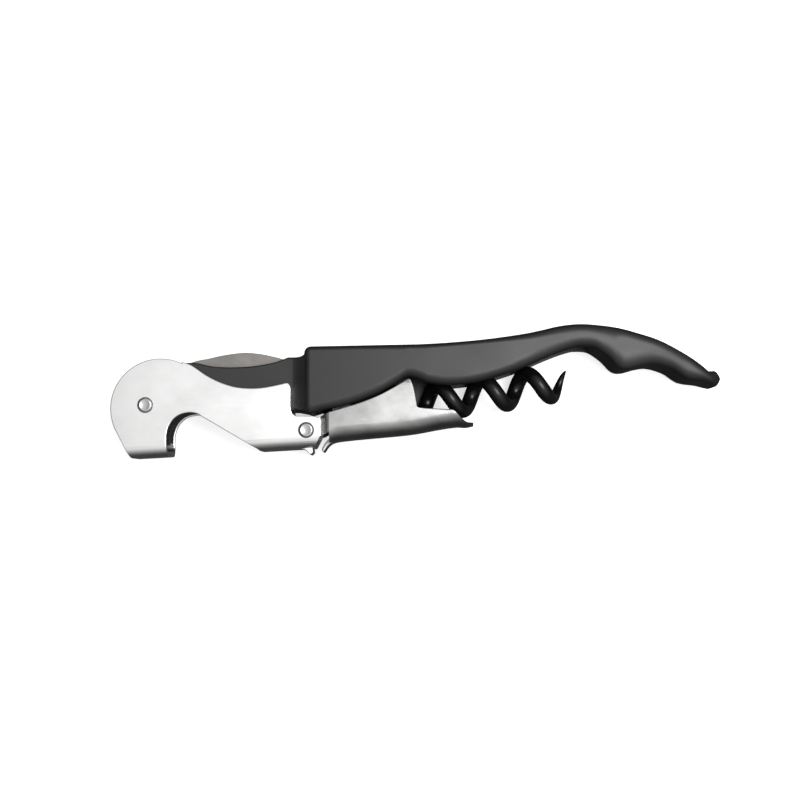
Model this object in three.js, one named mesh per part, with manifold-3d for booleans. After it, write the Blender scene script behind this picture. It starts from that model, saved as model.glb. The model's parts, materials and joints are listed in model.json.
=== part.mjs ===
// Double-hinged waiter's corkscrew, folded and lying on its side.
// Millimetres. +X runs from the knife end to the tail, +Y towards the back of the handle,
// +Z is the width direction. Outlines are drawn from the axis of the head rivet.
import * as THREE from 'three';
import { mergeVertices } from 'three/addons/utils/BufferGeometryUtils.js';
import Module from 'manifold-3d';

const wasm = await Module();
wasm.setup();

// ---------- driving dimensions ----------
const WIDTH = 13;                 // over the handle and over the rivet heads
const MID = WIDTH / 2;
const CHANNEL_WIDTH = 10;         // room for the screw inside the handle
const ROOF = 2.2;                 // handle thickness above that room
const NECK_WIDTH = 9.4;           // handle neck between the lever's walls
const SLOT_WIDTH = 2.4;           // knife slot
const KNIFE_THICK = 1.6;

const LEVER_WIDTH = 12;           // over the folded steel channels
const SHEET = 1;                  // steel sheet
const BEND = 2.2;                 // outer bend radius of the channels
const FIRST_TILT = 0.057;         // slope of the first lever's web, radians
const FIRST_WEB_Y = -10.14;       // height of that web below the head rivet
const EAR_WIDTH = 9.7;            // second lever's ears, inside the first lever
const LIP_SIDE = 2.4;             // the levers' turned lips start this far inside either face

const RIVET_R = 1.1;
const RIVET_HEAD_R = 1.55;
const RIVET_HEAD = 0.5;
const PIN_R = 0.75;
const RUNNING = 0.06;             // radial clearance of a turning fit
const SIDE_GAP = 0.05;            // axial clearance between stacked pieces

const HEAD_AXIS = [0, 0];
const LEVER_AXIS = [31.28, -4.85];
const WORM_AXIS = [38, -1.2];

const WIRE_R = 1.5;               // screw wire
const COIL_R = 2.75;              // radius of the wire's centre line
const PITCH = 8.9;
const STRAIGHT = 1.8;             // plain shank beside the pin
const COIL_START = 6.5;           // full coil begins this far from the pin
const COIL_END = 43.9;
const TIP_LENGTH = 2.9;           // ground point, a cone
const TROUGH = 6;                 // first low point of the coil, from the pin
const WORM_RISE = 0.135;          // slope of the screw when folded, radians
const EYE_R = 2.3;                // the worm's eye round its pin

const KNIFE_WASHER_R = 3.4;
const LEVER_WASHER_R = 4.2;
const WORM_SPACER_R = 1.5;
const RIVET_SPACER_R = 1.9;
const PIN_END = 2;                // the pin stops this far inside either face

// ---------- materials ----------
function finish(color, roughness, metalness) {
  return new THREE.MeshStandardMaterial({ color, roughness, metalness });
}
const steel = finish(0xc9cacb, 0.32, 1);
const bladeSteel = finish(0xa8a49c, 0.38, 1);
const blackCoat = finish(0x303132, 0.5, 0.1);
const wormCoat = finish(0x121212, 0.3, 0.1);
const nylon = finish(0xe4e2dc, 0.6, 0);

// ---------- shape helpers ----------
function smooth(shape, points) {
  shape.splineThru(points.map(([x, y]) => new THREE.Vector2(x, y)));
}

function polygon(points) {
  return new THREE.Shape(points.map(([x, y]) => new THREE.Vector2(x, y)));
}

function toSolid(geometry) {
  geometry.deleteAttribute('normal');
  geometry.deleteAttribute('uv');
  const merged = mergeVertices(geometry, 1e-5);
  return new wasm.Manifold(new wasm.Mesh({
    numProp: 3,
    vertProperties: new Float32Array(merged.attributes.position.array),
    triVerts: new Uint32Array(merged.index.array),
  }));
}

// The outline as a polygon, without points that fall on each other where curves meet.
function faceted(shape) {
  const kept = [];
  for (const point of shape.getPoints(3)) {
    const near = [kept[0], kept[kept.length - 1]];
    if (!near.some((other) => other && point.distanceTo(other) < 0.05)) kept.push(point);
  }
  return new THREE.Shape(kept);
}

// A side outline given thickness from z0 to z1.
function slab(shape, z0, z1) {
  const geometry = new THREE.ExtrudeGeometry(faceted(shape), { depth: z1 - z0, bevelEnabled: false });
  geometry.translate(0, 0, z0);
  return toSolid(geometry);
}

// A plan outline, x and z, made into a prism along Y.
function prismAlongY(shape, y0, y1) {
  const geometry = new THREE.ExtrudeGeometry(shape, { depth: y1 - y0, bevelEnabled: false });
  geometry.rotateX(Math.PI / 2);
  geometry.translate(0, y1, 0);
  return toSolid(geometry);
}

function disc([x, y], radius, z0, z1, sides = 32) {
  const geometry = new THREE.CylinderGeometry(radius, radius, z1 - z0, sides);
  geometry.rotateX(Math.PI / 2);
  geometry.translate(x, y, (z0 + z1) / 2);
  return toSolid(geometry);
}

function ring(axis, outer, inner, z0, z1) {
  return disc(axis, outer, z0, z1).subtract(disc(axis, inner, z0 - 1, z1 + 1));
}

// Folded-sheet channel: the cross section, open upwards, swept along the web's underside.
function channel(path, height, steps) {
  const half = LEVER_WIDTH / 2;
  const section = new THREE.Shape();
  section.moveTo(-half, height);
  section.lineTo(-half, BEND);
  section.absarc(-half + BEND, BEND, BEND, Math.PI, Math.PI * 1.5, false);
  section.lineTo(half - BEND, 0);
  section.absarc(half - BEND, BEND, BEND, Math.PI * 1.5, Math.PI * 2, false);
  section.lineTo(half, height);
  section.lineTo(half - SHEET, height);
  section.lineTo(half - SHEET, BEND);
  section.absarc(half - BEND, BEND, BEND - SHEET, 0, -Math.PI / 2, true);
  section.lineTo(-half + BEND, SHEET);
  section.absarc(-half + BEND, BEND, BEND - SHEET, Math.PI * 1.5, Math.PI, true);
  section.lineTo(-half + SHEET, height);
  const curve = new THREE.CatmullRomCurve3(path.map(([x, y]) => new THREE.Vector3(x, y, MID)));
  return toSolid(new THREE.ExtrudeGeometry(section, {
    extrudePath: curve, steps, curveSegments: 4, bevelEnabled: false,
  }));
}

const group = new THREE.Group();

function add(name, solid, material) {
  const data = solid.getMesh();
  const geometry = new THREE.BufferGeometry();
  geometry.setAttribute('position', new THREE.BufferAttribute(data.vertProperties, 3));
  geometry.setIndex(new THREE.BufferAttribute(data.triVerts, 1));
  geometry.computeVertexNormals();
  const mesh = new THREE.Mesh(geometry, material);
  mesh.name = name;
  group.add(mesh);
}

// ---------- handle ----------
const BODY_START = 30.9;          // full width from here to the tail
const FLARE_START = 28.5;
const NECK_END_R = 5.2;           // round end of the neck, about the head rivet
const TAIL_R = 1.65;
const LUG_R = 1.7;
const LUG_OUTSIDE = 2;            // lower lug's two faces, mirrored for the upper one
const LUG_INSIDE = 4;
const CHEEK_SIDE = 1.6;           // clear of the second lever's wall
const CHEEK_THICK = 0.5;          // clear of the worm's turns
const CHEEK_ROOT = 1;             // the cheek's root starts inside the wall

function bodyOutline() {
  const shape = new THREE.Shape();
  shape.moveTo(FLARE_START, -1.45);
  shape.lineTo(BODY_START + 0.6, -1.55);
  smooth(shape, [[34, -1.05], [37.9, -0.25], [41.7, 0.9], [45.6, 2.45], [49.3, 4.55], [51.3, 5.6],
    [54.6, 4.4], [58.4, 3.95], [62.9, 4.3], [67, 5.15], [73, 7.1], [79, 9.7], [83.2, 11.2],
    [85.2, 11.46], [87.4, 11.18], [89.9, 9.5], [92, 7.4], [93.9, 7], [97.1, 7.8], [99.4, 7.95],
    [102.5, 7], [105.4, 5.15], [108.9, 4.5], [111.2, 3.7]]);
  shape.absarc(111.4, 5.33, TAIL_R, -Math.PI / 2, Math.PI * 0.42, false);
  shape.lineTo(109.9, 6.8);
  smooth(shape, [[107.8, 8.35], [103.9, 10.8], [100, 12.8], [96.1, 14.1], [92.2, 15.15],
    [88.3, 15.7], [84.5, 15.9], [80.6, 15.5], [76.7, 14.6], [72.8, 13.85], [65, 12.8],
    [55.3, 12.05], [45.6, 11.8], [BODY_START + 0.8, 11.55]]);
  shape.lineTo(BODY_START - 0.3, 10.4);
  shape.lineTo(BODY_START - 1.2, 9.6);
  shape.lineTo(FLARE_START, 9.6);
  return shape;
}

// The neck, and the hook-shaped foot that backs the first lever's crown-cap notch.
function neckOutline() {
  const shape = new THREE.Shape();
  shape.moveTo(BODY_START + 0.5, -1);
  shape.lineTo(BODY_START + 0.5, 9.5);
  shape.lineTo(27.6, 9.45);
  smooth(shape, [[25, 8.5], [21, 7.75], [17, 7.5], [13, 7.65], [8.8, 8.4], [4.5, 7.6], [0, NECK_END_R]]);
  shape.absarc(0, 0, NECK_END_R, Math.PI / 2, Math.PI * 1.36, false);
  smooth(shape, [[-1.4, -6.6], [0, -7.5]]);
  shape.lineTo(3.1, -7.5);
  smooth(shape, [[3.95, -6.9], [4, -5.5], [4.45, -3.9], [5.4, -2.5], [6.8, -1.6], [8.6, -1.2]]);
  shape.lineTo(12, -1.1);
  return shape;
}

// The screw's room: open below, its end wall curved at the tail side.
function roomOutline() {
  const shape = new THREE.Shape();
  shape.moveTo(33, -12);
  shape.lineTo(88, -12);
  shape.lineTo(88, 10.5);
  smooth(shape, [[86.5, 12.6], [84, 13.4]]);
  smooth(shape, [[80, 13.2], [72.8, 13.85 - ROOF], [65, 12.8 - ROOF], [55.3, 12.05 - ROOF],
    [45.6, 11.8 - ROOF], [36.5, 11.4 - ROOF]]);
  shape.lineTo(33, 7.5);
  return shape;
}

function slotOutline() {
  return polygon([[-12, -12], [4.8, -12], [4.8, 0.7], [29.8, 1.2], [35, 4.6], [35, 13], [-12, 13]]);
}

// A thin cheek hangs from the lower wall, beside the first turns of the worm.
function cheekOutline() {
  return polygon([[47, 2.6], [52.9, 0], [55.1, 0.2], [56.4, 1.5], [57.4, 3.2], [58.4, 7], [47, 7]]);
}

function handle() {
  const inset = (WIDTH - NECK_WIDTH) / 2;
  const wall = (WIDTH - CHANNEL_WIDTH) / 2;
  const flare = [[FLARE_START - 0.1, inset], [FLARE_START + 0.7, inset - 0.35],
    [BODY_START - 0.6, 0.6], [BODY_START, 0], [120, 0]];
  const plan = polygon([...flare, ...flare.map(([x, z]) => [x, WIDTH - z]).reverse()]);
  let solid = slab(bodyOutline(), 0, WIDTH).intersect(prismAlongY(plan, -20, 30));
  solid = solid.subtract(slab(roomOutline(), wall, WIDTH - wall));
  solid = solid.add(slab(neckOutline(), inset, WIDTH - inset));
  const [pinX, pinY] = WORM_AXIS;
  const lugTop = 10.2;
  const lug = polygon([[pinX - LUG_R, pinY], [pinX + LUG_R, pinY], [pinX + 1.8, lugTop],
    [pinX - 1.8, lugTop]]);
  for (const [low, high] of [[LUG_OUTSIDE, LUG_INSIDE], [WIDTH - LUG_INSIDE, WIDTH - LUG_OUTSIDE]]) {
    solid = solid.add(slab(lug, low, high));
    solid = solid.add(disc(WORM_AXIS, LUG_R, low, high));
  }
  solid = solid.add(slab(cheekOutline(), CHEEK_SIDE, CHEEK_SIDE + CHEEK_THICK));
  const root = polygon([[53.5, 5.6], [58.2, 5.6], [58.2, 7], [53.5, 7]]);
  solid = solid.add(slab(root, CHEEK_ROOT, CHEEK_SIDE + CHEEK_THICK));
  solid = solid.subtract(slab(slotOutline(), MID - SLOT_WIDTH / 2, MID + SLOT_WIDTH / 2));
  solid = solid.subtract(disc(HEAD_AXIS, RIVET_R + RUNNING, -1, WIDTH + 1));
  solid = solid.subtract(disc(WORM_AXIS, PIN_R + RUNNING, 1.8, WIDTH - 1.8));
  add('handle_body', solid, blackCoat);
}

// ---------- first lever ----------
function firstLeverOutline() {
  const shape = new THREE.Shape();
  shape.moveTo(9.6, 7.3);
  smooth(shape, [[8.6, 7.9], [7, 8.45]]);
  shape.absarc(2.9, -0.6, 9.7, Math.PI * 0.36, Math.PI * 1.14, false);
  shape.lineTo(-2.8, -10.6);
  shape.lineTo(4.3, -10.6);
  shape.lineTo(4.1, -7);
  smooth(shape, [[4.17, -5.5], [4.62, -4], [5.51, -2.66], [6.85, -1.77], [8.64, -1.42],
    [10.12, -1.69], [10.72, -2.08]]);
  shape.lineTo(21.7, -8.47);
  shape.lineTo(22.8, -9.4);
  shape.lineTo(32.4, -9.4);
  smooth(shape, [[33.34, -7.24], [34.12, -5.5], [34.42, -3.8], [33.9, -2.6], [32.6, -2.1]]);
  shape.lineTo(29.3, -2.1);
  smooth(shape, [[28.5, -1.5], [28.2, -0.1]]);
  shape.lineTo(28.2, 3.5);
  smooth(shape, [[27.6, 4.3], [26.4, 4.1], [24.6, 3.72], [22.3, 3.35], [20, 3.28], [17.5, 3.52],
    [15.2, 4.17], [13.1, 5.07], [11.3, 6.1]]);
  return shape;
}

function firstLever() {
  const web = (x) => FIRST_WEB_Y + FIRST_TILT * x;
  const path = [[-12, web(-12)], [12, web(12)], [33, web(33)]];
  const wallTop = 24;
  let solid = channel(path, wallTop, 2).intersect(slab(firstLeverOutline(), -1, WIDTH + 1));
  const lip = polygon([[29.4, web(29.4)], [31.9, -9.5], [32.5, -8.7], [30.6, -7.35], [29.4, -7.4]]);
  solid = solid.add(slab(lip, LIP_SIDE, WIDTH - LIP_SIDE));
  for (const axis of [HEAD_AXIS, LEVER_AXIS]) {
    solid = solid.subtract(disc(axis, RIVET_R + RUNNING, -1, WIDTH + 1));
  }
  add('first_lever', solid, steel);
}

// ---------- second lever ----------
const EAR_R = 1.75;

function secondLeverTop(shape) {
  smooth(shape, [[62.7, -3.2], [61.9, -2.76], [61, -1.8], [59.9, -0.87], [58.4, -0.76], [53.4, -0.45]]);
  shape.lineTo(52.7, 0.19);
  smooth(shape, [[52.25, 2.76], [51.75, 4.6], [51.1, 5.15], [49.5, 4.2], [45.6, 2.07], [41.7, 0.5],
    [37.9, -0.65], [35.3, -1.45], [34.3, -1.9]]);
}

function secondWallOutline() {
  const shape = new THREE.Shape();
  shape.moveTo(LEVER_AXIS[0], LEVER_AXIS[1] - EAR_R);
  shape.lineTo(34.3, -6.3);
  shape.lineTo(36.8, -5);
  shape.lineTo(52, -3.5);
  shape.lineTo(62, -2.9);
  secondLeverTop(shape);
  shape.absarc(LEVER_AXIS[0], LEVER_AXIS[1], EAR_R, Math.PI / 2, Math.PI * 1.5, false);
  return shape;
}

function secondWebOutline() {
  const shape = new THREE.Shape();
  shape.moveTo(36.3, -8);
  shape.lineTo(66, -8);
  shape.lineTo(66, -3.2);
  secondLeverTop(shape);
  shape.lineTo(36.3, -1.5);
  return shape;
}

function secondLever() {
  const outer = (WIDTH - LEVER_WIDTH) / 2;
  const ear = (WIDTH - EAR_WIDTH) / 2;
  const wall = polygon([[28, ear], [34.5, ear], [36.2, outer], [70, outer], [70, outer + SHEET],
    [36.6, outer + SHEET], [34.9, ear + SHEET], [28, ear + SHEET]]);
  const outline = slab(secondWallOutline(), -1, WIDTH + 1);
  const near = prismAlongY(wall, -20, 20);
  const far = near.mirror([0, 0, 1]).translate([0, 0, WIDTH]);
  const path = [[36, -7.05], [44, -6.2], [51.75, -5.44], [57.3, -4.45], [60.7, -3.98], [63.9, -3.95]];
  const wallTop = 3.3;
  const web = channel(path, wallTop, 10).intersect(slab(secondWebOutline(), -1, WIDTH + 1));
  const lip = polygon([[38, -6.85], [36.2, -7.7], [34.6, -9.2], [34.1, -8.5], [35.6, -6.6],
    [36.6, -5.9], [38, -5.85]]);
  let solid = near.add(far).intersect(outline);
  solid = solid.add(web);
  solid = solid.add(slab(lip, LIP_SIDE, WIDTH - LIP_SIDE));
  solid = solid.subtract(disc(LEVER_AXIS, RIVET_R + RUNNING, -1, WIDTH + 1));
  add('second_lever', solid, steel);
}

// ---------- knife ----------
function knife() {
  const shape = new THREE.Shape();
  shape.moveTo(0, -4);
  shape.absarc(0, 0, 4, -Math.PI / 2, Math.PI * 0.07, false);
  shape.lineTo(9, 2.6);
  smooth(shape, [[16, 3.5], [25, 4.6], [33, 5.6]]);
  smooth(shape, [[31.5, 7.2], [28.8, 8.6], [25.7, 9.6], [21.9, 10.45], [18.5, 10.7], [14.8, 10.25],
    [11.6, 9.55], [8.2, 8.75], [3, 6], [-1.5, 3.7]]);
  shape.absarc(0, 0, 4, Math.PI * 0.62, Math.PI * 1.5, false);
  const solid = slab(shape, MID - KNIFE_THICK / 2, MID + KNIFE_THICK / 2)
    .subtract(disc(HEAD_AXIS, RIVET_R + RUNNING, 0, WIDTH));
  add('foil_knife', solid, bladeSteel);
}

// ---------- screw ----------
class Helix extends THREE.Curve {
  getPoint(t, target = new THREE.Vector3()) {
    const along = THREE.MathUtils.lerp(0.2, COIL_END, t);
    const grow = THREE.MathUtils.smoothstep(along, STRAIGHT, COIL_START);
    const angle = Math.PI + (2 * Math.PI * (along - TROUGH)) / PITCH;
    return target.set(along, COIL_R * grow * Math.cos(angle), COIL_R * grow * Math.sin(angle));
  }
}

function worm() {
  const path = new Helix();
  const section = new THREE.Shape();
  section.absarc(0, 0, WIRE_R, 0, Math.PI * 2, false);
  const coil = toSolid(new THREE.ExtrudeGeometry(section, {
    extrudePath: path, steps: 62, curveSegments: 4, bevelEnabled: false,
  }));
  const cone = new THREE.ConeGeometry(WIRE_R - 0.05, TIP_LENGTH, 8);
  cone.translate(0, TIP_LENGTH / 2 - 0.3, 0);
  const end = path.getPoint(1);
  const heading = path.getTangent(1);
  cone.applyQuaternion(new THREE.Quaternion().setFromUnitVectors(new THREE.Vector3(0, 1, 0), heading));
  cone.translate(end.x, end.y, end.z);
  const lie = new THREE.Matrix4().makeRotationZ(WORM_RISE)
    .setPosition(WORM_AXIS[0], WORM_AXIS[1], MID);
  let solid = coil.add(toSolid(cone)).transform(lie.elements);
  solid = solid.add(disc(WORM_AXIS, EYE_R, MID - WIRE_R, MID + WIRE_R));
  solid = solid.subtract(disc(WORM_AXIS, PIN_R + RUNNING, 0, WIDTH));
  add('worm', solid, wormCoat);
}

// ---------- rivets, pin, washers and spacers ----------
function rivet(name, [x, y]) {
  const foot = RIVET_HEAD - SIDE_GAP;
  const edge = 0.2;
  const profile = [[0, 0], [RIVET_HEAD_R - edge, 0], [RIVET_HEAD_R, edge], [RIVET_HEAD_R, foot],
    [RIVET_R, foot], [RIVET_R, WIDTH - foot], [RIVET_HEAD_R, WIDTH - foot],
    [RIVET_HEAD_R, WIDTH - edge], [RIVET_HEAD_R - edge, WIDTH], [0, WIDTH]];
  const geometry = new THREE.LatheGeometry(profile.map(([r, z]) => new THREE.Vector2(r, z)), 32);
  geometry.rotateX(Math.PI / 2);
  geometry.translate(x, y, 0);
  add(name, toSolid(geometry), steel);
}

function smallPieces() {
  rivet('head_rivet', HEAD_AXIS);
  rivet('lever_rivet', LEVER_AXIS);
  add('worm_pin', disc(WORM_AXIS, PIN_R, PIN_END, WIDTH - PIN_END, 24), steel);
  const slotSide = MID - SLOT_WIDTH / 2;
  const knifeSide = MID - KNIFE_THICK / 2;
  const leverInside = (WIDTH - LEVER_WIDTH) / 2 + SHEET;
  const neckSide = (WIDTH - NECK_WIDTH) / 2;
  const eyeSide = MID - WIRE_R;
  const stacks = [
    ['knife_washer', HEAD_AXIS, KNIFE_WASHER_R, RIVET_R, slotSide, knifeSide],
    ['lever_washer', HEAD_AXIS, LEVER_WASHER_R, RIVET_R, leverInside, neckSide],
    ['worm_spacer', WORM_AXIS, WORM_SPACER_R, PIN_R, LUG_INSIDE, eyeSide],
  ];
  for (const [name, axis, outer, bore, low, high] of stacks) {
    const lower = ring(axis, outer, bore + RUNNING, low + SIDE_GAP, high - SIDE_GAP);
    add(`${name}_bottom`, lower, nylon);
    add(`${name}_top`, lower.mirror([0, 0, 1]).translate([0, 0, WIDTH]), nylon);
  }
  const earInside = (WIDTH - EAR_WIDTH) / 2 + SHEET + SIDE_GAP;
  const spacer = ring(LEVER_AXIS, RIVET_SPACER_R, RIVET_R + RUNNING, earInside, WIDTH - earInside);
  add('rivet_spacer', spacer, steel);
}

handle();
firstLever();
secondLever();
knife();
worm();
smallPieces();

// The origin lies under the middle of the tool, on the surface that it rests on.
const box = new THREE.Box3().setFromObject(group);
group.position.set(-(box.min.x + box.max.x) / 2, -(box.min.y + box.max.y) / 2, -box.min.z);

export default group;
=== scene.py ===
import json
import math

import bmesh
import bpy
from mathutils import Matrix, Vector


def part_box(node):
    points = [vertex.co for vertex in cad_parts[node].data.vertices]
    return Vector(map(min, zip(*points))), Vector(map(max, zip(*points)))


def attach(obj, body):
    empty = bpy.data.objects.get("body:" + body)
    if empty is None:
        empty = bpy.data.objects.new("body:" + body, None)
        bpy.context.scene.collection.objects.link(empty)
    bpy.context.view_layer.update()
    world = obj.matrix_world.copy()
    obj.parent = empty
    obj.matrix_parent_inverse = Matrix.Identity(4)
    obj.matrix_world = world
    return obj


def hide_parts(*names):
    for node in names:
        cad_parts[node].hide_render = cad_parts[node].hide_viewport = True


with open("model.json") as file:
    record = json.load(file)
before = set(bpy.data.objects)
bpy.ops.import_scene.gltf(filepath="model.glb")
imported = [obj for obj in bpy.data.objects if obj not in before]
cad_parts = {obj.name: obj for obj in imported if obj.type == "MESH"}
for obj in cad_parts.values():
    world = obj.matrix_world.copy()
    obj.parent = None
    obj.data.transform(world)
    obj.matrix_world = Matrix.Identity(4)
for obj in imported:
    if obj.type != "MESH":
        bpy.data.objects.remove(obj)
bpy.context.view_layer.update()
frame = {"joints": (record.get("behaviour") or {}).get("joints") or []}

MM = 0.001


def joint(name):
    return next(j for j in frame["joints"] if j["name"] == name)


def axis_of(name):
    """A hinge's axis in millimetres from the head rivet."""
    here = joint(name)["pos_m"]
    return ((here[0] - ORIGIN.x) / MM, (here[1] - ORIGIN.y) / MM)


ORIGIN = Vector(joint("first_lever_hinge")["pos_m"])
ORIGIN.z = 0
HEAD_AXIS = (0.0, 0.0)
LEVER_AXIS = axis_of("second_lever_hinge")
WORM_AXIS = axis_of("worm_hinge")
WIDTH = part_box("handle_body")[1][2] / MM
MID = WIDTH / 2

FILLET = 1.25         # the handle's rounded edges
CHANNEL_WIDTH = 10.0  # the room for the screw
ROOF = 2.2            # from the handle's back to that room
NECK_WIDTH = 9.4
SLOT_WIDTH = 2.4      # the slot for the knife
KNIFE_THICK = 1.6
LEVER_WIDTH = 12.0
SHEET = 1.0           # both levers' steel
EAR_WIDTH = 9.7       # over the second lever's joggled ears
RIVET_R = 1.1
RIVET_HEAD_R = 1.55
RIVET_HEAD = 0.5      # a rivet head's height
PIN_R = 0.75
RUNNING = 0.06        # play between a pin and its bore
CLEAR = 1             # cutters run this far past what they cut


# ---------- outlines ----------
def smooth(points, steps=6):
    """A Catmull-Rom curve through the points."""
    out = []
    last = len(points) - 1
    for i in range(last):
        p0 = points[max(i - 1, 0)]
        p1, p2 = points[i], points[i + 1]
        p3 = points[min(i + 2, last)]
        for k in range(steps):
            t = k / steps
            out.append(tuple(
                0.5 * (2 * b + (c - a) * t + (2 * a - 5 * b + 4 * c - d) * t * t
                       + (3 * b - a - 3 * c + d) * t ** 3)
                for a, b, c, d in zip(p0, p1, p2, p3)))
    return out + [tuple(points[-1])]


def arc(centre, radius, start, end, steps=24):
    """Points of an arc, angles in degrees."""
    out = []
    for k in range(steps + 1):
        a = math.radians(start + (end - start) * k / steps)
        out.append((centre[0] + radius * math.cos(a), centre[1] + radius * math.sin(a)))
    return out


NEAREST = 0.03    # points closer together than this count as one


def cleaned(points):
    """The outline without doubled points."""
    kept = []
    for p in points:
        if all(math.dist(p, q) > NEAREST for q in (kept[:1] + kept[-1:])):
            kept.append(p)
    return kept


def area(points):
    """The outline's area, positive where it runs anticlockwise."""
    return sum(a[0] * b[1] - b[0] * a[1] for a, b in zip(points, points[1:] + points[:1])) / 2


def height_at(line, x):
    """Height of a line that only runs towards +X."""
    for (x0, y0), (x1, y1) in zip(line, line[1:]):
        if x <= x1:
            return y0 + (y1 - y0) * max(0.0, x - x0) / max(x1 - x0, 1e-6)
    return line[-1][1]


def eased(value):
    """0 to 1, with a soft start and a soft end."""
    value = min(1.0, max(0.0, value))
    return value * value * (3 - 2 * value)


def inset(points, amount):
    """The outline moved inwards by amount, corners mitred."""
    out = []
    count = len(points)
    for i, p in enumerate(points):
        a = Vector(p) - Vector(points[i - 1])
        b = Vector(points[(i + 1) % count]) - Vector(p)
        na = Vector((-a.y, a.x)).normalized()
        nb = Vector((-b.y, b.x)).normalized()
        miter = (na + nb) / max(0.35, 1 + na.dot(nb))
        out.append((p[0] + miter.x * amount, p[1] + miter.y * amount))
    return out


# ---------- meshes ----------
def to_object(name, bm):
    """An object of the mesh, its faces turned outwards."""
    bmesh.ops.recalc_face_normals(bm, faces=bm.faces)
    if bm.calc_volume(signed=True) < 0:
        bmesh.ops.reverse_faces(bm, faces=bm.faces)
    mesh = bpy.data.meshes.new(name)
    bm.to_mesh(mesh)
    bm.free()
    obj = bpy.data.objects.new(name, mesh)
    bpy.context.scene.collection.objects.link(obj)
    return obj


def place(x, y, z):
    """A point's metres in the row frame, from its millimetres."""
    return (ORIGIN.x + x * MM, ORIGIN.y + y * MM, z * MM)


def skin(bm, rings, closed=False):
    """Quads between rings of equal length; the ends are capped unless the rings close."""
    count = len(rings[0])
    pairs = list(zip(rings, rings[1:])) + ([(rings[-1], rings[0])] if closed else [])
    for a, b in pairs:
        for i in range(count):
            j = (i + 1) % count
            bm.faces.new((a[i], a[j], b[j], b[i]))
    if not closed:
        bm.faces.new(rings[0])
        bm.faces.new(list(reversed(rings[-1])))


def slab(name, points, z0, z1, edge=0.0, steps=1):
    """An outline given thickness, its two faces' edges rounded."""
    points = cleaned(points)
    if area(points) < 0:
        points.reverse()
    levels = [(0.0, z0), (0.0, z1)]
    if edge:
        turn = [math.radians(90 * k / steps) for k in range(steps + 1)]
        low = [(edge * (1 - math.sin(t)), z0 + edge * (1 - math.cos(t))) for t in turn]
        high = [(d, z0 + z1 - z) for d, z in reversed(low)]
        levels = low + high
    bm = bmesh.new()
    rings = []
    for depth, z in levels:
        ring = inset(points, depth) if depth else points
        rings.append([bm.verts.new(place(x, y, z)) for x, y in ring])
    skin(bm, rings)
    return to_object(name, bm)


def prism_along_y(name, points, y0, y1):
    """A plan outline, x and z, made into a prism."""
    bm = bmesh.new()
    rings = [[bm.verts.new(place(x, y, z)) for x, z in cleaned(points)] for y in (y0, y1)]
    skin(bm, rings)
    return to_object(name, bm)


def lathe(name, axis, profile, sides=64):
    """A closed profile of radius and height turned round an axis parallel to Z."""
    bm = bmesh.new()
    rings = []
    for k in range(sides):
        a = 2 * math.pi * k / sides
        rings.append([bm.verts.new(place(axis[0] + r * math.cos(a), axis[1] + r * math.sin(a), z))
                      for r, z in profile])
    skin(bm, rings, closed=True)
    return to_object(name, bm)


DRUM_SIDES = 64


def drum(name, axis, radius, z0, z1):
    """A round bar parallel to Z."""
    around = arc(axis, radius, 0, 360 - 360 / DRUM_SIDES, DRUM_SIDES - 1)
    return slab(name, around, z0, z1)


def applied(obj):
    """obj with its modifiers made real."""
    graph = bpy.context.evaluated_depsgraph_get()
    mesh = bpy.data.meshes.new_from_object(obj.evaluated_get(graph))
    old = obj.data
    obj.modifiers.clear()
    obj.data = mesh
    bpy.data.meshes.remove(old)
    return obj


def combine(obj, other, operation):
    """obj joined with another object or cut by it; the other one is used up."""
    mod = obj.modifiers.new("join", "BOOLEAN")
    mod.operation = operation
    mod.solver = "EXACT"
    mod.object = other
    applied(obj)
    bpy.data.objects.remove(other, do_unlink=True)
    return obj


def bore(obj, axis, radius, side=-CLEAR):
    """A hole for a pin of this radius, from side to WIDTH - side."""
    combine(obj, drum("bore", axis, radius + RUNNING, side, WIDTH - side), "DIFFERENCE")


SLIVER = 0.02         # shorter edges are closed up
FLAT_ANGLE = 0.6      # faces this near to level with each other are joined
ROUNDED_ANGLE = 38    # edges above it are rounded
CREASE_ANGLE = 32     # edges above it stay creased


def bends(edge, angle):
    """Whether two faces meet at the edge by more than an angle in degrees."""
    return len(edge.link_faces) == 2 and edge.calc_face_angle(0) > math.radians(angle)


def beyond(edge, corner):
    """Whether an end of the edge lies to the right of the corner and below it."""
    x, y, _ = place(*corner, 0)
    return any(v.co.x > x and v.co.y < y for v in edge.verts)


def tidy_edges(obj, width=0.0, flat_sides=False, sharp_corner=None):
    """Removes slivers, rounds the edges by width and smooths the faces between creases.

    Edges beyond sharp_corner aren't rounded.
    """
    bm = bmesh.new()
    bm.from_mesh(obj.data)
    bmesh.ops.remove_doubles(bm, verts=bm.verts, dist=SLIVER * MM)
    bmesh.ops.dissolve_limit(bm, angle_limit=math.radians(FLAT_ANGLE), verts=bm.verts,
                             edges=bm.edges)
    if width:
        rounded = [edge for edge in bm.edges if bends(edge, ROUNDED_ANGLE)
                   and not (sharp_corner and beyond(edge, sharp_corner))]
        bmesh.ops.bevel(bm, geom=rounded, offset=width * MM, segments=2, profile=0.5,
                        affect="EDGES", clamp_overlap=False)
    bmesh.ops.triangulate(bm, faces=[f for f in bm.faces if len(f.verts) > 4])
    for face in bm.faces:
        on_a_side = abs(face.normal.z) > 0.99995
        face.smooth = not (flat_sides and on_a_side)
    for edge in bm.edges:
        if bends(edge, CREASE_ANGLE):
            edge.smooth = False
    bm.to_mesh(obj.data)
    bm.free()
    mod = obj.modifiers.new("flat_faces", "WEIGHTED_NORMAL")
    mod.keep_sharp = True
    mod.weight = 80
    return applied(obj)


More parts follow.
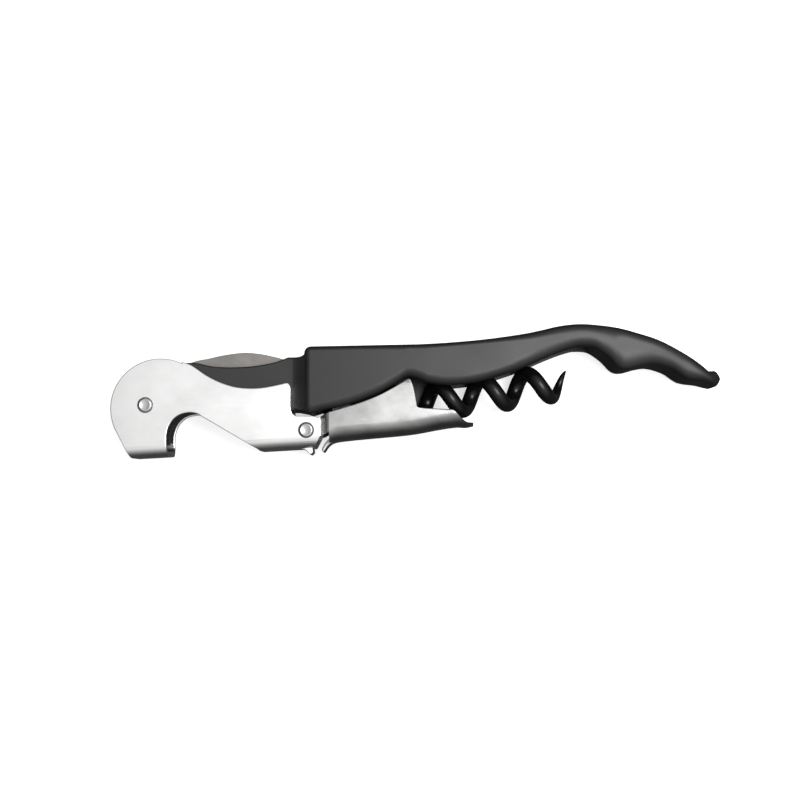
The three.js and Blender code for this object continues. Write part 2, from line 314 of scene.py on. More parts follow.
# ---------- materials ----------
class Nodes:
    """A principled material, with short calls for the nodes that it needs."""

    def __init__(self, name, color, roughness, metallic):
        self.material = bpy.data.materials.new(name)
        self.material.use_nodes = True
        self.tree = self.material.node_tree
        self.shader = self.tree.nodes["Principled BSDF"]
        self.shader.inputs["Base Color"].default_value = (*color, 1)
        self.shader.inputs["Roughness"].default_value = roughness
        self.shader.inputs["Metallic"].default_value = metallic
        self.position = self.tree.nodes.new("ShaderNodeTexCoord").outputs["Object"]

    def link(self, a, b):
        self.tree.links.new(a, b)

    def noise(self, stretch, detail=3.0, roughness=0.5):
        """Noise whose cells are about stretch millimetres long in X, Y and Z."""
        mapping = self.tree.nodes.new("ShaderNodeMapping")
        mapping.inputs["Scale"].default_value = [1 / (s * MM) for s in stretch]
        self.link(self.position, mapping.inputs["Vector"])
        node = self.tree.nodes.new("ShaderNodeTexNoise")
        node.inputs["Scale"].default_value = 1
        node.inputs["Detail"].default_value = detail
        node.inputs["Roughness"].default_value = roughness
        self.link(mapping.outputs["Vector"], node.inputs["Vector"])
        return node.outputs["Fac"]

    def between(self, noise, low, high):
        """A noise, which mostly lies between 0.3 and 0.7, spread from low to high."""
        node = self.tree.nodes.new("ShaderNodeMapRange")
        node.inputs["From Min"].default_value = 0.3
        node.inputs["From Max"].default_value = 0.7
        node.inputs["To Min"].default_value = low
        node.inputs["To Max"].default_value = high
        self.link(noise, node.inputs["Value"])
        return node.outputs["Result"]

    def total(self, a, b):
        node = self.tree.nodes.new("ShaderNodeMath")
        node.operation = "ADD"
        self.link(a, node.inputs[0])
        self.link(b, node.inputs[1])
        return node.outputs[0]

    def set_color(self, noise, low, high):
        """A base colour that drifts between two colours."""
        node = self.tree.nodes.new("ShaderNodeMix")
        node.data_type = "RGBA"
        node.inputs["A"].default_value = (*low, 1)
        node.inputs["B"].default_value = (*high, 1)
        self.link(self.between(noise, 0, 1), node.inputs["Factor"])
        self.link(node.outputs["Result"], self.shader.inputs["Base Color"])

    def set_roughness(self, value):
        self.link(value, self.shader.inputs["Roughness"])

    def set_bump(self, *heights):
        """Each of heights is a pair of a value and its depth in millimetres."""
        normal = None
        for value, depth in heights:
            node = self.tree.nodes.new("ShaderNodeBump")
            node.inputs["Distance"].default_value = depth * MM
            self.link(value, node.inputs["Height"])
            if normal is not None:
                self.link(normal, node.inputs["Normal"])
            normal = node.outputs["Normal"]
        self.link(normal, self.shader.inputs["Normal"])


def steel(name, light, dark, roughness, grain):
    """Satin stainless: fine lines as long as grain says, and faint cloudy patches."""
    m = Nodes(name, light, roughness, 1.0)
    clouds = m.noise((9, 7, 7), 4, 0.6)
    lines = m.noise(grain, 2, 0.6)
    fine = m.noise((0.25, 0.25, 0.25), 2)
    m.set_color(clouds, dark, light)
    m.set_roughness(m.total(m.between(clouds, roughness - 0.03, roughness + 0.04),
                            m.between(lines, -0.03, 0.04)))
    m.set_bump((lines, 0.002), (fine, 0.0015))
    return m.material


def powder_coat(name, light, dark):
    """Satin near-black coat: fine orange peel and specks, slightly cloudy."""
    m = Nodes(name, light, 0.4, 0.0)
    clouds = m.noise((14, 9, 9), 3, 0.5)
    peel = m.noise((0.5, 0.5, 0.5), 2, 0.5)
    specks = m.noise((0.12, 0.12, 0.12), 1)
    m.set_color(clouds, dark, light)
    m.set_roughness(m.between(clouds, 0.38, 0.47))
    m.shader.inputs["Specular IOR Level"].default_value = 0.5
    m.set_bump((peel, 0.006), (specks, 0.002))
    return m.material


def screw_coat(name):
    """Smooth black non-stick coat with a slight peel."""
    m = Nodes(name, (0.005, 0.005, 0.005), 0.26, 0.0)
    clouds = m.noise((3, 3, 3), 3)
    peel = m.noise((0.3, 0.3, 0.3), 2)
    m.set_color(clouds, (0.003, 0.003, 0.003), (0.007, 0.007, 0.007))
    m.set_roughness(m.between(clouds, 0.22, 0.32))
    m.shader.inputs["Specular IOR Level"].default_value = 0.33
    m.set_bump((peel, 0.004))
    return m.material


def nylon(name):
    """Matt off-white plastic."""
    m = Nodes(name, (0.75, 0.74, 0.70), 0.5, 0.0)
    clouds = m.noise((1, 1, 1), 2)
    m.set_color(clouds, (0.68, 0.67, 0.63), (0.78, 0.77, 0.74))
    m.set_bump((clouds, 0.01))
    return m.material


# Both levers are one stainless steel in two painted copies. The first lever's copy is brighter than
# bare steel, which is painted light. The second lever's copy is much darker with wide cloudy patches,
# which is painted shade and painted uneven reflections.
LEVER_STEEL = steel("lever_steel", (0.87, 0.87, 0.866), (0.80, 0.80, 0.796), 0.3, (8, 0.09, 0.09))
SHADED_SECOND_STEEL = steel("second_lever_steel_painted_shade", (0.42, 0.42, 0.417), (0.24, 0.24, 0.238), 0.3,
                     (8, 0.09, 0.09))
BLADE_STEEL = steel("blade_steel", (0.29, 0.279, 0.263), (0.19, 0.182, 0.172), 0.34, (0.09, 6, 0.09))
RIVET_STEEL = steel("rivet_steel", (0.58, 0.58, 0.575), (0.52, 0.52, 0.52), 0.26, (0.3, 0.3, 0.3))
BLACK_COAT = powder_coat("handle_coat", (0.014, 0.0138, 0.0145), (0.010, 0.0098, 0.0104))
SCREW_COAT = screw_coat("screw_coat")
NYLON = nylon("washer_nylon")


def keep(obj, body, slot, material, *nodes):
    """Gives a finished piece its material and its body, and hides the nodes that it replaces. The
    slot is not used.
    """
    obj.data.materials.clear()
    obj.data.materials.append(material)
    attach(obj, body)
    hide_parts(*nodes)


# ---------- handle ----------
BODY_START = 30.8
BACK = [(109.9, 6.75), (107.8, 8.35), (103.9, 10.8), (100, 12.8), (96.1, 14.1), (92.2, 15.15),
        (88.3, 15.7), (84.5, 15.92), (80.6, 15.5), (76.7, 14.6), (72.8, 13.85), (65, 12.8),
        (55.3, 12.05), (45.6, 11.8), (BODY_START + 0.1, 11.5)]
UNDER = [(34, -1.05), (37.9, -0.25), (41.7, 0.9), (45.6, 2.45), (49.3, 4.55)]
PEAK = [(49.3, 4.55), (50.6, 5.4), (51.5, 5.55), (52.8, 5.15), (54.6, 4.4)]
GRIP = [(54.6, 4.4), (58.4, 3.95), (62.9, 4.3), (67, 5.15), (73, 7.1), (79, 9.7), (83.2, 11.2),
        (85.2, 11.46), (87.4, 11.18), (89.9, 9.5), (92, 7.4), (93.9, 7), (97.1, 7.8),
        (99.4, 7.95), (102.5, 7), (105.4, 5.15), (108.9, 4.5), (110.4, 4.0)]
TAIL_CENTRE = (110.95, 5.35)
TAIL_R = 1.65
ROUND_FROM = 105.5    # the tail's end is rounded in plan from here
STATION = 0.45        # between the loft's sections
REACH = 0.4           # the underside's slope is taken this far to either side

# How many fillets the rounded edges take up along Y, and what that gains towards the tail.
UNDER_SPREAD, UNDER_SPREAD_GAIN = 1.4, 1.1
BACK_SPREAD, BACK_SPREAD_GAIN = 0.8, 0.7
SPREAD_FROM = 68
SPREAD_LENGTH = 16


def body_section(low, high, half, under, back, depth):
    """A rectangle in Y and Z whose corners are quarter ellipses.

    The corners take up under and back along Y, and depth along Z.
    """
    ring = []
    steps = 8
    for cy, across, side, start in ((low + under, under, -1, 180), (high - back, back, -1, 270),
                                    (high - back, back, 1, 0), (low + under, under, 1, 90)):
        for k in range(steps + 1):
            a = math.radians(start + 90 * k / steps)
            ring.append((cy + across * math.cos(a),
                         MID + side * (half - depth) + depth * math.sin(a)))
    return ring


def shell_stations():
    """Each section's place along X, and how much the rounded neck end shrinks it."""
    stations = [(BODY_START + FILLET * (1 - math.sin(a)), FILLET * (1 - math.cos(a)))
                for a in (math.radians(90 - 15 * k) for k in range(7))]
    x = BODY_START + FILLET + 0.4
    while x < TAIL_CENTRE[0] - 0.2:
        stations.append((x, 0.0))
        x += STATION
    return stations + [(TAIL_CENTRE[0] + TAIL_R * math.sin(math.radians(8 * k)), 0.0)
                       for k in range(12)]


def handle_shell():
    """The handle's body, lofted from the neck end to the tail."""
    tip = TAIL_CENTRE[0] + TAIL_R
    under = [(BODY_START, -1.5), (BODY_START + 1.4, -1.6)] + smooth(UNDER)[:-1] + smooth(PEAK)[:-1]
    under += smooth(GRIP) + arc(TAIL_CENTRE, TAIL_R, -80, 0, 12)
    back = smooth(BACK[::-1]) + arc(TAIL_CENTRE, TAIL_R, 76, 0, 12)
    bm = bmesh.new()
    rings = []
    for x, shrink in shell_stations():
        low, high = height_at(under, x), height_at(back, x)
        slope = (height_at(under, x + REACH) - height_at(under, x - REACH)) / (2 * REACH)
        if x > TAIL_CENTRE[0] - 0.5:
            slope = 0.0
        far = max(0.0, (x - ROUND_FROM) / (tip + 0.35 - ROUND_FROM))
        half = MID * math.sqrt(1 - far ** 3) - shrink
        low, high = low + shrink, high - shrink
        corner = max(0.08, FILLET - shrink)
        across = corner * math.sqrt(1 + slope * slope)
        room = (high - low) * 0.48
        depth = min(corner * (1 + far), half * 0.9)
        spread = min(1.0, max(0.0, (x - SPREAD_FROM) / SPREAD_LENGTH))
        below = across * (UNDER_SPREAD + UNDER_SPREAD_GAIN * spread)
        above = across * (BACK_SPREAD + BACK_SPREAD_GAIN * spread)
        section = body_section(low, high, half, min(below, room), min(above, room), depth)
        rings.append([bm.verts.new(place(x, y, z)) for y, z in section])
    skin(bm, rings)
    return to_object("handle_shell", bm)


NECK_END_R = 5.2
NECK_EDGE = 0.35      # its rounded edges


def neck_outline():
    """The neck, its rounded end and the hook-shaped foot behind the first lever's notch."""
    top = [(27.6, 9.45), (25, 8.5), (21, 7.75), (17, 7.5), (13, 7.65), (8.8, 8.4), (4.5, 7.6),
           (0, NECK_END_R)]
    foot = [(-2.2, -4.7), (-1.4, -6.6), (0, -7.5)]
    hook = [(3.1, -7.5), (3.65, -7.35), (3.95, -6.9), (4, -5.5), (4.45, -3.9), (5.4, -2.5),
            (6.8, -1.6), (8.6, -1.2), (12, -1.1)]
    return ([(BODY_START + 3, -1), (BODY_START + 3, 9.5)] + smooth(top)
            + arc(HEAD_AXIS, NECK_END_R, 90, 245) + smooth(foot) + smooth(hook))


CHEEK_SIDE = 1.6      # from the tool's side
CHEEK_THICK = 0.5
CHEEK_ROOT = [(53.5, 5.6), (58.2, 5.6), (58.2, 7), (53.5, 7)]


def cheek_outline():
    """A thin plate on the far side only, hanging from the lower wall beside the screw's first turns;
    its black coat fills the dark area behind those turns.
    """
    return [(47, 2.6), (52.9, 0), (55.1, 0.2), (56.4, 1.5), (57.4, 3.2), (58.4, 7), (47, 7)]


def room_outline():
    """The room for the screw, open to the lever side."""
    roof = [(36.5, 11.4 - ROOF), (45.6, 11.8 - ROOF), (55.3, 12.05 - ROOF), (65, 12.8 - ROOF),
            (72.8, 13.85 - ROOF), (80, 13.2), (84, 13.4), (86.5, 12.6), (88, 10.5)]
    return [(88, -12), (33, -12), (33, 7.5)] + smooth(roof)


def slot_outline():
    """The slot for the knife, open to the back and round the neck's end."""
    return [(-12, -12), (4.8, -12), (4.8, 0.7), (29.8, 1.2), (35, 4.6), (35, 13), (-12, 13)]


FLARE_START = 28.4
FLARE_LENGTH = 3.0
FLARE_SIDE = 1.8      # its distance from the tool's side where it leaves the neck
FLARE_GAIN = 1.5      # and how much nearer to that side it gets
FLARE_EDGE = 0.6


def flare():
    """The cove where the neck widens into the body."""
    bm = bmesh.new()
    rings = []
    steps = 12
    for k in range(steps + 1):
        t = k / steps
        side = FLARE_SIDE - FLARE_GAIN * t ** 1.4
        low = -0.85 - 0.5 * t
        high = 9.4 + 0.25 * t + 1.2 * t ** 5
        ring = body_section(low, high, MID - side, FLARE_EDGE, FLARE_EDGE, FLARE_EDGE)
        rings.append([bm.verts.new(place(FLARE_START + FLARE_LENGTH * t, y, z)) for y, z in ring])
    skin(bm, rings)
    return to_object("flare", bm)


LUG_R = 1.7
LUG_THICK = 2
LUG_SIDES = (2, 9)    # where each of the worm pin's two lugs starts
PIN_SIDE = 1.8        # the pin's bore stays this far inside


def lug_outline():
    """From round the worm pin up into the roof."""
    x = WORM_AXIS[0]
    return [(x - 1.8, 10.2)] + arc(WORM_AXIS, LUG_R, 180, 360) + [(x + 1.8, 10.2)]


def make_handle():
    wall = (WIDTH - CHANNEL_WIDTH) / 2
    side = (WIDTH - NECK_WIDTH) / 2
    slot = (WIDTH - SLOT_WIDTH) / 2
    body = handle_shell()
    combine(body, slab("room", room_outline(), wall, WIDTH - wall), "DIFFERENCE")
    combine(body, slab("neck", neck_outline(), side, WIDTH - side, NECK_EDGE, 3), "UNION")
    combine(body, flare(), "UNION")
    for z0 in LUG_SIDES:
        combine(body, slab("lug", lug_outline(), z0, z0 + LUG_THICK), "UNION")
    combine(body, slab("cheek", cheek_outline(), CHEEK_SIDE, CHEEK_SIDE + CHEEK_THICK), "UNION")
    combine(body, slab("cheek_root", CHEEK_ROOT, 1, CHEEK_SIDE + 0.45), "UNION")
    combine(body, slab("slot", slot_outline(), slot, WIDTH - slot), "DIFFERENCE")
    bore(body, HEAD_AXIS, RIVET_R)
    bore(body, WORM_AXIS, PIN_R, PIN_SIDE)
    tidy_edges(body)
    keep(body, "handle", "black_coat", BLACK_COAT, "handle_body")


# ---------- first lever ----------
FIRST_WEB_Y = -10.14  # the underside of the first lever's web, below the head rivet
FIRST_TILT = 0.057    # and its rise per millimetre from there
FIRST_BEND = 2.2      # outside radius of its two bends
FIRST_HEAD_CENTRE = (2.9, -0.6)
FIRST_HEAD_R = 9.7
FIRST_LIP_SIDE = 2.5  # the lip stays this far inside the tool's sides
FIRST_LIP_CORNER = (28, -5.6)
FIRST_EDGE = 0.17     # rounding of its edges, up to that corner
LIP_EDGE = 0.15       # rounding of both levers' lips


def first_web(x):
    """Height of the underside of the first lever's web."""
    return FIRST_WEB_Y + FIRST_TILT * x


def first_channel(start, end, height):
    """The U section swept in a straight line along the underside of the web."""
    half = LEVER_WIDTH / 2
    bend = FIRST_BEND
    steps = 8
    section = [(-half, height)]
    section += arc((-half + bend, bend), bend, 180, 270, steps)
    section += arc((half - bend, bend), bend, 270, 360, steps)
    section += [(half, height), (half - SHEET, height)]
    section += arc((half - bend, bend), bend - SHEET, 0, -90, steps)
    section += arc((-half + bend, bend), bend - SHEET, 270, 180, steps)
    section += [(-half + SHEET, height)]
    along = Vector((end - start, first_web(end) - first_web(start))).normalized()
    bm = bmesh.new()
    rings = []
    for x in (start, end):
        y = first_web(x)
        rings.append([bm.verts.new(place(x - along.y * v, y + along.x * v, MID + u))
                      for u, v in section])
    skin(bm, rings)
    return to_object("first_lever_channel", bm)


def first_lever_outline():
    """The first lever from the side: its head, notch, tab, shoulder and waist in turn."""
    notch = [(4.1, -7), (4.17, -5.5), (4.62, -4), (5.51, -2.66), (6.85, -1.77), (8.64, -1.42),
             (10.12, -1.69), (10.72, -2.08)]
    tab = [(32.4, -9.4), (33.34, -7.24), (34.12, -5.5), (34.42, -3.8), (33.9, -2.6), (32.6, -2.1)]
    shoulder = [(29.3, -2.1), (28.5, -1.5), (28.2, -0.1)]
    waist = [(28.2, 3.5), (27.6, 4.3), (26.4, 4.1), (24.6, 3.72), (22.3, 3.35), (20, 3.28),
             (17.5, 3.52), (15.2, 4.17), (13.1, 5.07), (11.3, 6.1), (9.6, 7.3), (8.6, 7.9), (7, 8.45)]
    head = arc(FIRST_HEAD_CENTRE, FIRST_HEAD_R, 65, 205, 48)
    return (head + [(-2.8, -10.6), (4.3, -10.6)] + smooth(notch) + [(21.7, -8.47), (22.8, -9.4)]
            + smooth(tab) + smooth(shoulder) + smooth(waist))


def make_first_lever():
    lever = first_channel(start=-12, end=34, height=24)
    combine(lever, slab("outline", first_lever_outline(), -CLEAR, WIDTH + CLEAR), "INTERSECT")
    lip = smooth([(28.6, first_web(28.6) + 0.1), (30.2, -8.42), (31.1, -8.72), (31.65, -9.3),
                  (31.95, -9.6)], 4)
    lip += smooth([(32.45, -9.2), (32.45, -8.6), (32.1, -7.9), (31.3, -7.55), (28.6, -7.6)], 4)
    combine(lever, slab("lip", lip, FIRST_LIP_SIDE, WIDTH - FIRST_LIP_SIDE, LIP_EDGE, 2), "UNION")
    for axis in (HEAD_AXIS, LEVER_AXIS):
        bore(lever, axis, RIVET_R)
    tidy_edges(lever, FIRST_EDGE, flat_sides=True, sharp_corner=FIRST_LIP_CORNER)
    keep(lever, "first_lever", "lever_steel", LEVER_STEEL, "first_lever")


# ---------- second lever ----------
SECOND_TOP = [(62.7, -3.2), (61.9, -2.76), (61, -1.8), (59.9, -0.87), (58.4, -0.76), (53.4, -0.45),
              (52.7, 0.19)]
SECOND_BACK = [(52.7, 0.19), (52.25, 2.76), (51.75, 4.6), (51.1, 5.15), (49.5, 4.2), (45.6, 2.07),
               (41.7, 0.5), (37.9, -0.65), (35.3, -1.45), (34.3, -1.9)]
SECOND_WEB = [(34.9, -7.8), (35.8, -7.4), (37.2, -6.98), (39.8, -6.65), (44, -6.25),
              (51.75, -5.5), (57.3, -4.5), (60.7, -4.02), (62.4, -4.14), (64.05, -3.92)]
WALLS_FROM = 35.7     # left of here the web is a bare flared lip
SECOND_BEND = 3.0     # outside radius of the second lever's two bends
RIM = 0.22            # rounding of its walls' upper edges
LEAST_HEIGHT = 0.32   # of its walls, at the tip
TIP_CORNER = 4.5      # radius of the tip's corners in plan
STEP = 0.3            # between the loft's sections
FINE_STEP = 0.08
FINE_SPANS = ((50.5, 53), (62.5, 65))    # the peak's steep end and the tip
SECOND_LIP_SIDE = 2.7
EAR_R = 1.62


def dish(height, half):
    """One side of the channel's section, from the middle of the web's underside out and back."""
    thick = min(SHEET, height * 0.55)
    rim = min(RIM, height * 0.2)
    level = height - rim
    bend = min(SECOND_BEND, half - 0.2)
    inner = bend - thick
    centre = (half - bend, bend)
    drop = max(0.0, bend - level + 0.05)    # low walls end before the bend does
    outer_end = 360 - math.degrees(math.asin(drop / bend))
    inner_end = 360 - math.degrees(math.asin(min(1, drop / inner)))
    outer = [(0, 0)] + arc(centre, bend, 270, outer_end, 12)
    inside = arc(centre, inner, inner_end, 270, 12) + [(0, thick)]
    far, near = outer[-1][0], inside[0][0]
    rim = min(rim, (far - near) * 0.35)
    edge = [(far, level), (far - rim * 0.3, height - rim * 0.3), (far - rim, height),
            (near + rim, height), (near + rim * 0.3, height - rim * 0.3), (near, level)]
    return outer, edge, inside


def second_channel():
    """The second lever's folded channel, lofted from its open end to the rounded tip."""
    web = smooth(SECOND_WEB)
    top = (smooth(SECOND_TOP)[:-1] + smooth(SECOND_BACK))[::-1]
    tip = SECOND_WEB[-1][0]
    bm = bmesh.new()
    rings = []
    x = WALLS_FROM
    while x <= tip:
        low = height_at(web, x)
        height = max(height_at(top, x) - low, LEAST_HEIGHT)
        half = LEVER_WIDTH / 2
        round_off = max(0.0, x - (tip + 0.12 - TIP_CORNER))
        half -= TIP_CORNER - math.sqrt(TIP_CORNER ** 2 - round_off ** 2)
        outer, edge, inside = dish(height, half)
        side = outer + edge + inside
        ring = side + [(-u, v) for u, v in reversed(side[1:-1])]
        rings.append([bm.verts.new(place(x, low + v, MID + u)) for u, v in ring])
        x += FINE_STEP if any(a < x < b for a, b in FINE_SPANS) else STEP
    skin(bm, rings)
    return to_object("second_lever_channel", bm)


def ear_pair():
    """The second lever's ears, joggled inwards to sit inside the first lever."""
    outer = (WIDTH - LEVER_WIDTH) / 2
    ear = (WIDTH - EAR_WIDTH) / 2
    side = arc(LEVER_AXIS, EAR_R, 90, 270) + [(34.3, -5.95), (36.6, -4.6), (36.6, -1.3)]
    side += smooth([(35.9, -1.4), (35.2, -1.6), (34.3, -2.0), (32.8, -2.85)])
    outside = smooth([(33.7, ear), (34.2, ear - 0.06), (35.1, outer + 0.33), (35.8, outer + 0.08)], 5)
    inside = smooth([(35.8, outer + 0.92), (35.4, outer + SHEET + 0.1), (34.5, ear + SHEET - 0.1),
                     (33.9, ear + SHEET)], 5)
    plan = ([(28, ear)] + outside + [(36.6, outer + 0.08), (36.6, outer + 0.92)] + inside
            + [(28, ear + SHEET)])
    pair = []
    for points in (plan, [(px, WIDTH - pz) for px, pz in plan]):
        plate = prism_along_y("ear", points, -20, 20)
        combine(plate, slab("outline", side, -CLEAR, WIDTH + CLEAR), "INTERSECT")
        pair.append(plate)
    return pair


def make_second_lever():
    lever = second_channel()
    lip = smooth([(37.4, -6.85), (36.4, -7.12), (35.4, -7.85), (34.8, -8.7), (34.5, -9.1)], 5)
    lip += smooth([(34.2, -8.7), (34.4, -8.0), (34.95, -7.15), (35.8, -6.4), (37.4, -6.1)], 5)
    combine(lever, slab("lip", lip, SECOND_LIP_SIDE, WIDTH - SECOND_LIP_SIDE, LIP_EDGE, 2), "UNION")
    for plate in ear_pair():
        combine(lever, plate, "UNION")
    bore(lever, LEVER_AXIS, RIVET_R)
    tidy_edges(lever)
    # The second lever takes the darker steel copy, whose colour is painted shade.
    keep(lever, "second_lever", "lever_steel", SHADED_SECOND_STEEL, "second_lever")


# ---------- knife ----------
TEETH = 19
TOOTH_DEPTH = 0.28
EDGE_START = 9
PIVOT_END_R = 4
GRIND_WIDTH = 2.6     # what grinds the bevel reaches this far below its upper line
GRIND_SLOPE = (KNIFE_THICK / 2 - 0.1) / 2.0


def make_knife():
    edge = smooth([(EDGE_START, 2.6), (16, 3.5), (25, 4.6), (33, 5.6)], 8 * TEETH // 3)
    toothed = []
    for i, (x, y) in enumerate(edge):
        wave = abs(math.sin(math.pi * TEETH * i / len(edge)))
        toothed.append((x, y + TOOTH_DEPTH * (1 - wave) * min(1, (x - EDGE_START) / 2)))
    back = smooth([(33, 5.6), (31.5, 7.2), (28.8, 8.6), (25.7, 9.6), (21.9, 10.45), (18.5, 10.7),
                   (14.8, 10.25), (11.6, 9.55), (8.2, 8.75), (3, 6), (-1.5, 3.7)])
    outline = (arc(HEAD_AXIS, PIVOT_END_R, 270, 373) + toothed + back[1:]
               + arc(HEAD_AXIS, PIVOT_END_R, 112, 270))
    half = KNIFE_THICK / 2
    blade = slab("knife_blade", outline, MID - half, MID + half, 0.08)
    bevel_line = smooth([(9, 4.3), (16, 5.4), (25, 6.4), (33.5, 6.6)])
    for side in (-1, 1):
        combine(blade, ground_wedge(bevel_line, side), "DIFFERENCE")
    bore(blade, HEAD_AXIS, RIVET_R, 0)
    tidy_edges(blade)
    keep(blade, "knife", "blade_steel", BLADE_STEEL, "foil_knife")


def ground_wedge(line, side):
    """What the grinder takes off one face: nothing at the bevel line, most below the edge."""
    face = MID + side * KNIFE_THICK / 2
    outside = face + side * CLEAR
    ground = face - side * (GRIND_WIDTH * GRIND_SLOPE)
    bm = bmesh.new()
    loops = []
    for drop, z in ((0.0, face), (GRIND_WIDTH, ground), (GRIND_WIDTH, outside), (0.0, outside)):
        loops.append([bm.verts.new(place(x, y - drop, z)) for x, y in line])
    for a, b in zip(loops, loops[1:] + loops[:1]):
        for i in range(len(line) - 1):
            bm.faces.new((a[i], a[i + 1], b[i + 1], b[i]))
    bm.faces.new([loop[0] for loop in loops])
    bm.faces.new([loop[-1] for loop in reversed(loops)])
    return to_object("wedge", bm)


# ---------- screw ----------
WIRE_R = 1.5
COIL_R = 2.75         # to the wire's middle
PITCH = 8.9
STEM_START = 3.4      # places along the screw, from the pin
COIL_START = 6.5
COIL_END = 45.3
TROUGH = 6.0          # the coil's first low point
WORM_RISE = 0.135     # radians between the screw and the tool's length
POINT_LENGTH = 5.2
STEM_DROP = 0.35      # the stem lies this far below the pin
EYE_LOOP_R = 2.25
EYE_WIRE_R = 1.42
EYE_FROM, EYE_TO = 28, 318    # degrees round the pin


def worm_path():
    """Points and radii of the wire, from the eye round the pin to the ground point."""
    points = [(*p, 0.0) for p in arc((0.0, 0.0), EYE_LOOP_R, EYE_FROM, EYE_TO, 39)]
    radii = [EYE_WIRE_R] * len(points)
    for p in smooth([points[-2], points[-1], (2.7, -0.9, 0.0)], 4)[5:-1]:
        points.append(p)
        radii.append(1.45)
    steps = 330
    for k in range(steps + 1):
        along = STEM_START + (COIL_END - STEM_START) * k / steps
        grow = eased((along - STEM_START) / (COIL_START - STEM_START))
        from_point = min(1, (COIL_END - along) / POINT_LENGTH)
        a = math.pi + 2 * math.pi * (along - TROUGH) / PITCH
        r = COIL_R * grow
        points.append((along, r * math.cos(a) - STEM_DROP * (1 - grow), r * math.sin(a)))
        radii.append(WIRE_R * (0.06 + 0.94 * from_point ** 0.62))
    return points, radii


def make_worm():
    """The wire's round section carried along its path without twist."""
    points, radii = worm_path()
    points = [Vector(p) for p in points]
    turn = Matrix.Rotation(WORM_RISE, 3, "Z")
    base = Vector((*WORM_AXIS, MID))
    sides = 28
    bm = bmesh.new()
    rings = []
    normal = Vector((0, 0, 1))
    last = len(points) - 1
    for i, p in enumerate(points):
        along = (points[min(i + 1, last)] - points[max(i - 1, 0)]).normalized()
        normal = (normal - along * normal.dot(along)).normalized()
        across = along.cross(normal)
        ring = []
        for k in range(sides):
            a = 2 * math.pi * k / sides
            offset = (normal * math.cos(a) + across * math.sin(a)) * radii[i]
            ring.append(bm.verts.new(place(*(base + turn @ (p + offset)))))
        rings.append(ring)
    skin(bm, rings)
    worm = to_object("screw_wire", bm)
    tidy_edges(worm)
    keep(worm, "worm", "worm_coat", SCREW_COAT, "worm")


# ---------- rivets, pin, washers and spacers ----------
CORE = 0.02           # a turned profile starts this near its axis
CHAMFER = 0.06        # on washers and spacers
PIN_CHAMFER = 0.12


def ends_of(node):
    """Where a node of the CAD starts and ends along Z, in millimetres."""
    low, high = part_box(node)
    return low[2] / MM, high[2] / MM


def make_rivet(name, axis, body, node):
    """A rivet with a shallow dimple in each of its two low heads."""
    foot = RIVET_HEAD - 0.05
    low = [(CORE, 0.05), (0.9, 0.05), (1.0, 0.0), (1.06, 0.0), (1.3, 0.12), (1.46, 0.28),
           (RIVET_HEAD_R, 0.4), (RIVET_HEAD_R, foot), (RIVET_R, foot)]
    rivet = lathe(name, axis, low + [(r, WIDTH - z) for r, z in reversed(low)], 72)
    tidy_edges(rivet)
    keep(rivet, body, "rivet_steel", RIVET_STEEL, node)


def make_tube(name, axis, outer, pin, body, slot, material):
    """A washer or spacer round a pin, as long as the CAD's node of its name."""
    z0, z1 = ends_of(name)
    inner = pin + RUNNING
    c = CHAMFER
    profile = [(inner, z0 + c), (inner + c, z0), (outer - c, z0), (outer, z0 + c), (outer, z1 - c),
               (outer - c, z1), (inner + c, z1), (inner, z1 - c)]
    tube = lathe(name + "_ring", axis, profile)
    tidy_edges(tube)
    keep(tube, body, slot, material, name)


def make_worm_pin():
    z0, z1 = ends_of("worm_pin")
    c = PIN_CHAMFER
    profile = [(CORE, z0), (PIN_R - c, z0), (PIN_R, z0 + c), (PIN_R, z1 - c), (PIN_R - c, z1),
               (CORE, z1)]
    pin = lathe("worm_pin_turned", WORM_AXIS, profile, 48)
    tidy_edges(pin)
    keep(pin, "handle", "rivet_steel", RIVET_STEEL, "worm_pin")


def make_small_pieces():
    make_rivet("head_rivet_turned", HEAD_AXIS, "handle", "head_rivet")
    make_rivet("lever_rivet_turned", LEVER_AXIS, "first_lever", "lever_rivet")
    washers = [("knife_washer", HEAD_AXIS, 3.4, RIVET_R), ("lever_washer", HEAD_AXIS, 4.2, RIVET_R),
               ("worm_spacer", WORM_AXIS, 1.5, PIN_R)]
    for name, axis, outer, pin in washers:
        for side in ("bottom", "top"):
            make_tube(f"{name}_{side}", axis, outer, pin, "handle", "washer_plastic", NYLON)
    make_tube("rivet_spacer", LEVER_AXIS, 1.9, RIVET_R, "first_lever", "rivet_steel", RIVET_STEEL)
    make_worm_pin()


make_handle()
make_first_lever()
make_second_lever()
make_knife()
make_worm()
make_small_pieces()


# ---------- floor, light and camera ----------
FLOOR_R = 0.45        # metres
FLOOR_GLOW = 0.62
STUDIO = 0.97         # brightness of the dome
LEAN = 0.6            # how much brighter its tail side is
# The dome's grey from the horizon, at 0, to overhead, at 1.
DOME = ((0.0, 0.05), (0.06, 0.1), (0.3, 0.19), (0.55, 0.42), (0.75, 0.68), (0.93, 1.0))
LENS = 65.1
CAMERA_PLACE = (49.5, -17.5, 293)
CAMERA_AIM = (49.5, 0.95, WIDTH)


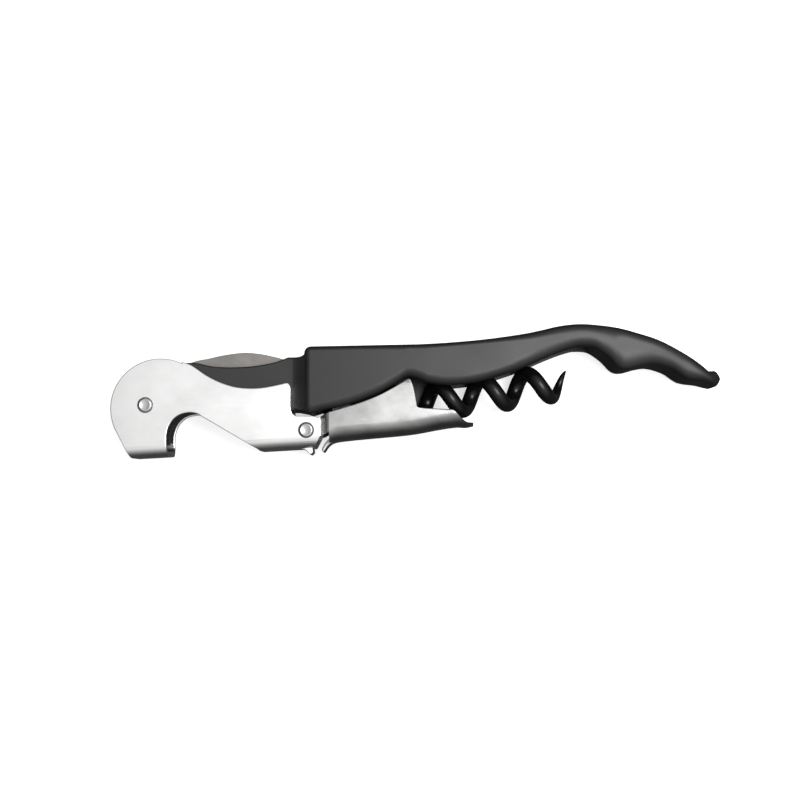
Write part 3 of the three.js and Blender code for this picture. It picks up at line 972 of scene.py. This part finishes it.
def make_floor():
    """A round white floor that neither lights the tool nor shows in it."""
    bm = bmesh.new()
    rim = [bm.verts.new((FLOOR_R * math.cos(a), FLOOR_R * math.sin(a), 0))
           for a in (2 * math.pi * k / 64 for k in range(64))]
    bm.faces.new(rim)
    floor = to_object("floor", bm)
    m = Nodes("floor_white", (0.93, 0.93, 0.93), 0.7, 0.0)
    grain = m.noise((2, 2, 2), 2)
    m.set_color(grain, (0.925, 0.925, 0.925), (0.935, 0.935, 0.935))
    m.shader.inputs["Emission Color"].default_value = (1, 1, 1, 1)
    m.shader.inputs["Emission Strength"].default_value = FLOOR_GLOW
    floor.data.materials.append(m.material)
    floor.visible_diffuse = False
    floor.visible_glossy = False


def make_world():
    """A bright dome that fades to a dark horizon, as studio panels overhead do."""
    world = bpy.data.worlds.new("studio")
    bpy.context.scene.world = world
    world.use_nodes = True
    tree = world.node_tree
    coord = tree.nodes.new("ShaderNodeTexCoord")
    split = tree.nodes.new("ShaderNodeSeparateXYZ")
    ramp = tree.nodes.new("ShaderNodeValToRGB")
    side = tree.nodes.new("ShaderNodeMapRange")
    tree.links.new(coord.outputs["Generated"], split.inputs[0])
    tree.links.new(split.outputs["Z"], ramp.inputs[0])
    tree.links.new(split.outputs["X"], side.inputs["Value"])
    side.inputs["From Min"].default_value = -1
    side.inputs["To Min"].default_value = STUDIO * (1 - LEAN)
    side.inputs["To Max"].default_value = STUDIO * (1 + LEAN)
    stops = ramp.color_ramp.elements
    stops.remove(stops[1])
    for position, level in DOME:
        stop = stops.new(position) if position else stops[0]
        stop.color = (level, level, level, 1)
    back = tree.nodes["Background"]
    tree.links.new(side.outputs["Result"], back.inputs["Strength"])
    tree.links.new(ramp.outputs[0], back.inputs["Color"])


def make_light(name, where, size, power):
    """A round softbox that faces the tool."""
    data = bpy.data.lights.new(name, "AREA")
    data.shape = "DISK"
    data.size = size
    data.energy = power
    lamp = bpy.data.objects.new(name, data)
    bpy.context.scene.collection.objects.link(lamp)
    lamp.location = where
    lamp.rotation_euler = (-Vector(where)).to_track_quat("-Z", "Y").to_euler()


def make_camera():
    """Above the tool, a little towards its lever side."""
    data = bpy.data.cameras.new("camera")
    data.lens = LENS
    data.sensor_width = 36
    camera = bpy.data.objects.new("camera", data)
    bpy.context.scene.collection.objects.link(camera)
    camera.location = place(*CAMERA_PLACE)
    sight = Vector(place(*CAMERA_AIM)) - Vector(place(*CAMERA_PLACE))
    camera.rotation_euler = sight.to_track_quat("-Z", "Y").to_euler()
    bpy.context.scene.camera = camera


make_floor()
make_world()
make_light("tail_softbox", (0.1, 0.03, 0.30), 0.16, 0.55)
make_camera()
bpy.context.scene.view_settings.view_transform = "Standard"
